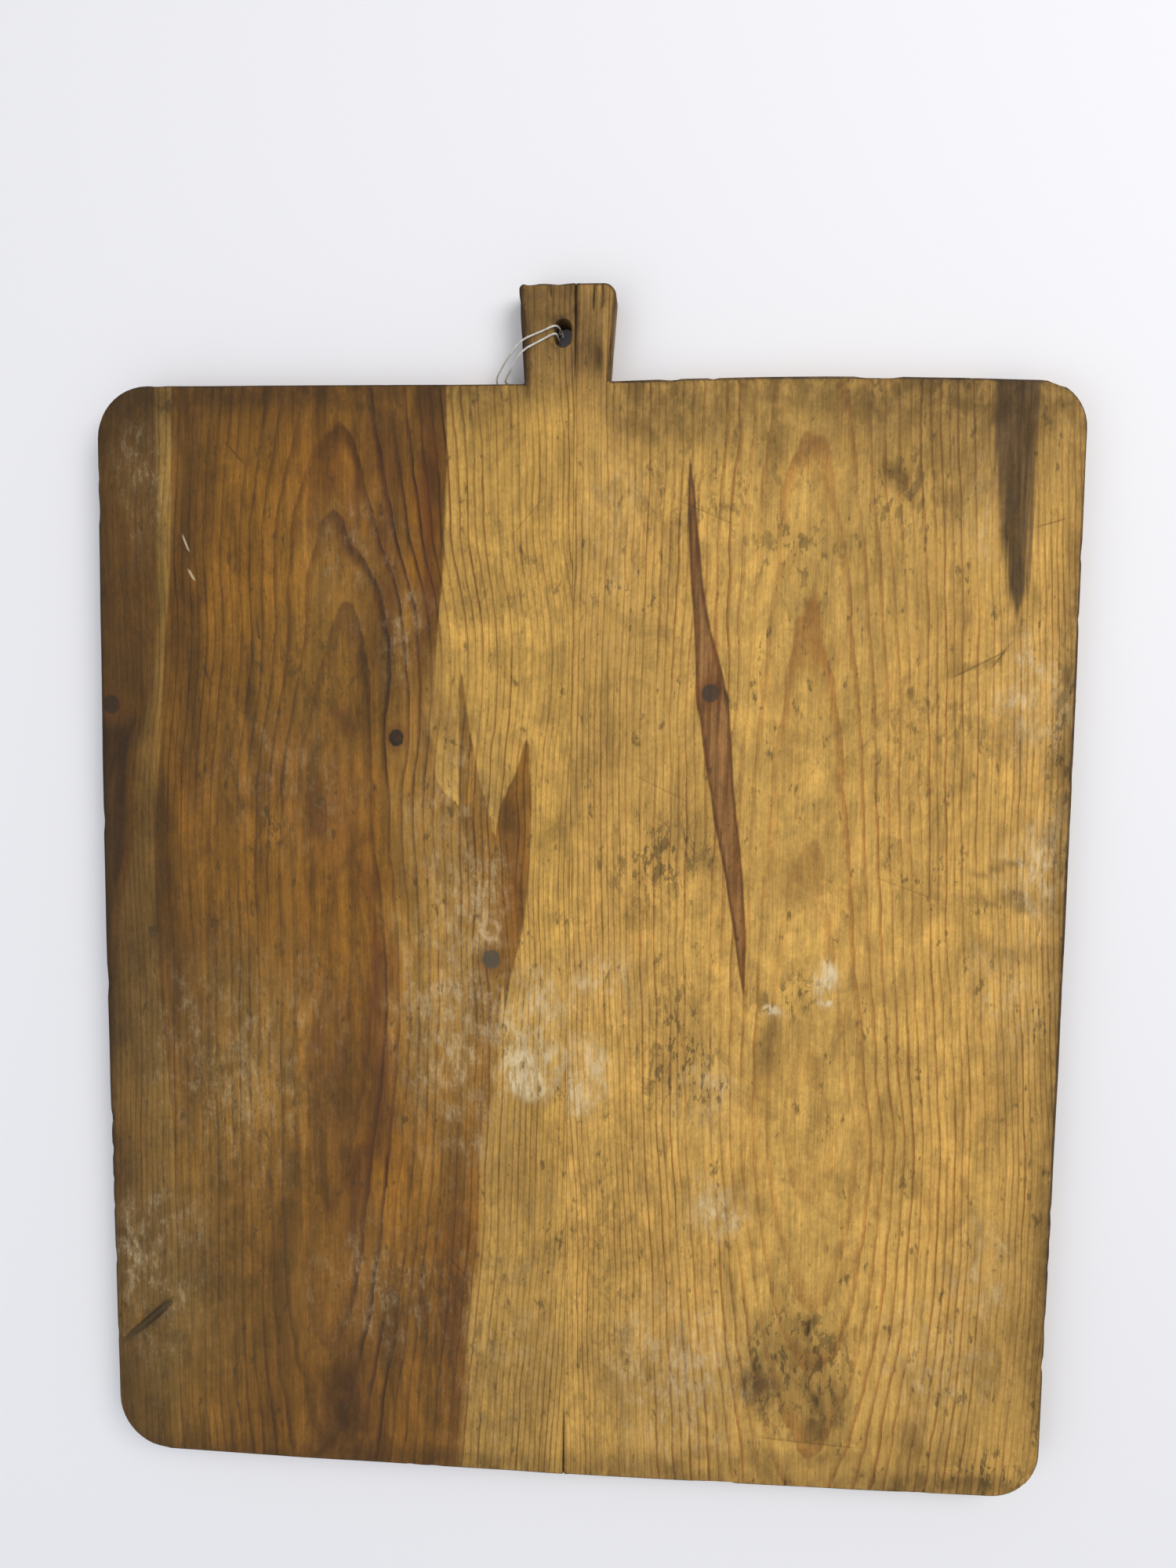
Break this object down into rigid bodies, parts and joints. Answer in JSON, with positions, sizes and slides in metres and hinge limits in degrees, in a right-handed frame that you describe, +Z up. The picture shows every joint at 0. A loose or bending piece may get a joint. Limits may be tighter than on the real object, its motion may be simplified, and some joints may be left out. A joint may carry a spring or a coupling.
{
  "type": "cutting board",
  "caption": "Rectangular pine cutting board edge-glued from two planks, with rounded corners, a short flared handle with a slot, and a clear nylon hanging loop.",
  "frame": {"origin": "middle of the board's outline, at the table that it lies on", "axes": "+Z up out of the cutting face; +Y towards the handle; +X to the right of someone who looks down on the face with the handle far from them"},
  "size_m": [0.5034, 0.629, 0.0219],
  "materials": {
    "left_pine": "worn, scrubbed bare heartwood pine, dull",
    "right_pine": "worn, scrubbed bare golden pine, dull",
    "beech": "plain turned beech, unfinished",
    "nylon": "clear glossy monofilament"
  },
  "bodies": {
    "root": {"left_plank": "left_pine", "right_plank": "right_pine", "edge_dowel_1": "beech", "edge_dowel_2": "beech", "edge_dowel_3": "beech", "edge_dowel_4": "beech", "hang_line": "nylon", "line_knot": "nylon"}
  },
  "joints": []
}
